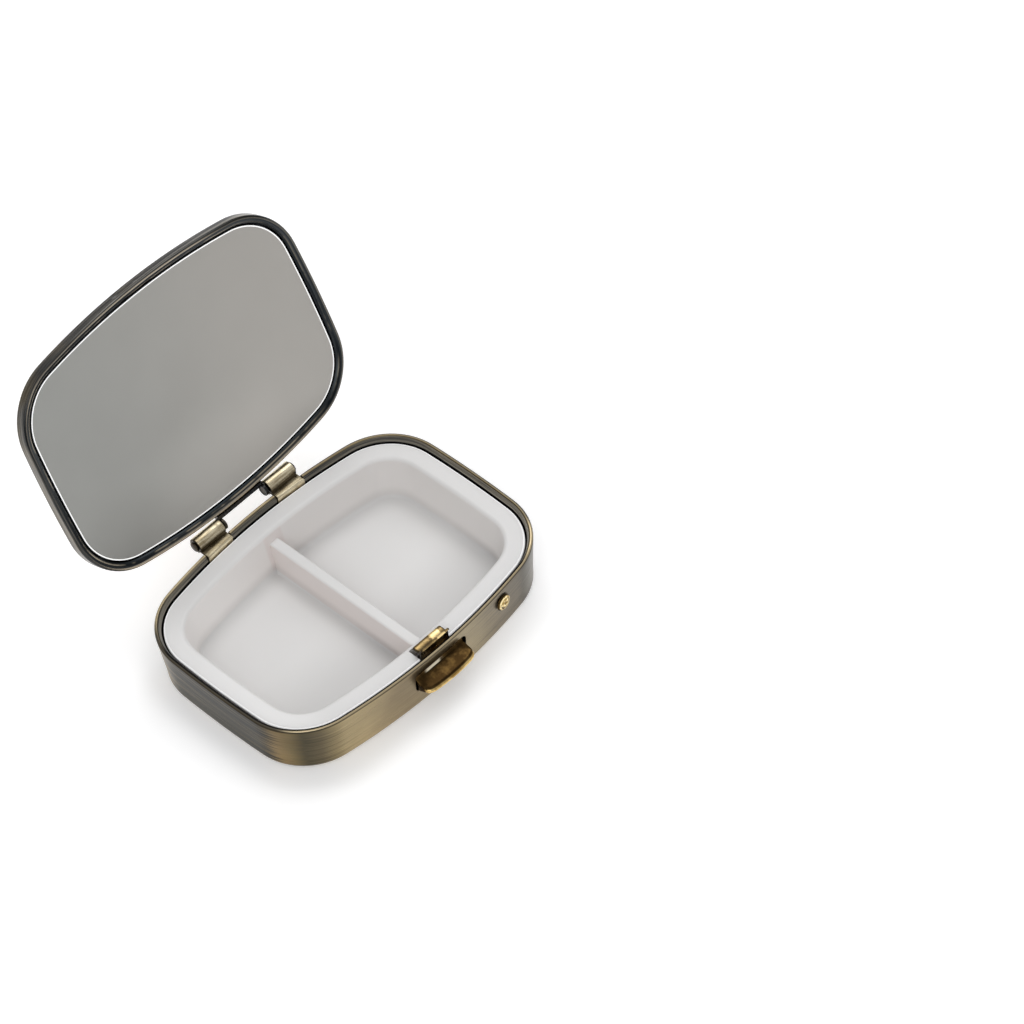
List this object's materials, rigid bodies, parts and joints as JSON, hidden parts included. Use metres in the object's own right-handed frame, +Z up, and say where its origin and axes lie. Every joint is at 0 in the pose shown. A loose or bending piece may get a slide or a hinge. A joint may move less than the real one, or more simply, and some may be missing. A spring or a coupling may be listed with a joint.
{
  "type": "pill box",
  "caption": "Small hinged metal pill box with a mirror inside the lid, a two-cell plastic tray, a framed picture lid and a push-button catch.",
  "frame": {"origin": "middle of the base's flat underside", "axes": "+X right along the long side, -Y out through the push button, +Y out through the hinge, +Z up"},
  "size_m": [0.057, 0.0649, 0.0496],
  "materials": {
    "shell_bronze": "antique bronze plate, brushed lengthways",
    "lid_bronze": "dark antique bronze plate, satin",
    "bezel_brass": "antique gold plate, polished high spots",
    "aged_brass": "aged, polished",
    "hinge_brass": "aged satin",
    "spring_brass": "spring temper, plain",
    "pin_steel": "dark",
    "white_plastic": "moulded, satin, slightly translucent",
    "mirror_glass": "polished",
    "printed_paper": "printed card",
    "clear_resin": "clear, glossy",
    "adhesive_foam": "double-sided foam"
  },
  "bodies": {
    "base": {"base_shell": "shell_bronze", "pill_tray": "white_plastic", "hinge_barrel_left": "hinge_brass", "hinge_barrel_right": "hinge_brass", "hinge_pin_left": "pin_steel", "hinge_pin_right": "pin_steel", "spring_rivet": "aged_brass", "latch_spring": "spring_brass"},
    "lid": {"lid_shell": "lid_bronze", "bezel_ring": "bezel_brass", "map_print": "printed_paper", "clear_cover": "clear_resin", "mirror": "mirror_glass", "mirror_pad": "adhesive_foam", "lid_hinge_leaf": "lid_bronze"},
    "latch": {"push_button": "aged_brass", "catch_plate": "aged_brass", "blade_rivet": "aged_brass"}
  },
  "joints": [
    {"name": "lid_hinge", "type": "hinge", "parent": "base", "child": "lid", "pos_m": [0, 0.0222, 0.01035], "axis": [1, 0, 0], "range_deg": [0, 113.5]},
    {"name": "button_press", "type": "slide", "parent": "base", "child": "latch", "axis": [0, 1, 0], "range_m": [0, 0.0005], "stiffness_N_per_m": 8000, "deforming": ["latch_spring"]}
  ]
}
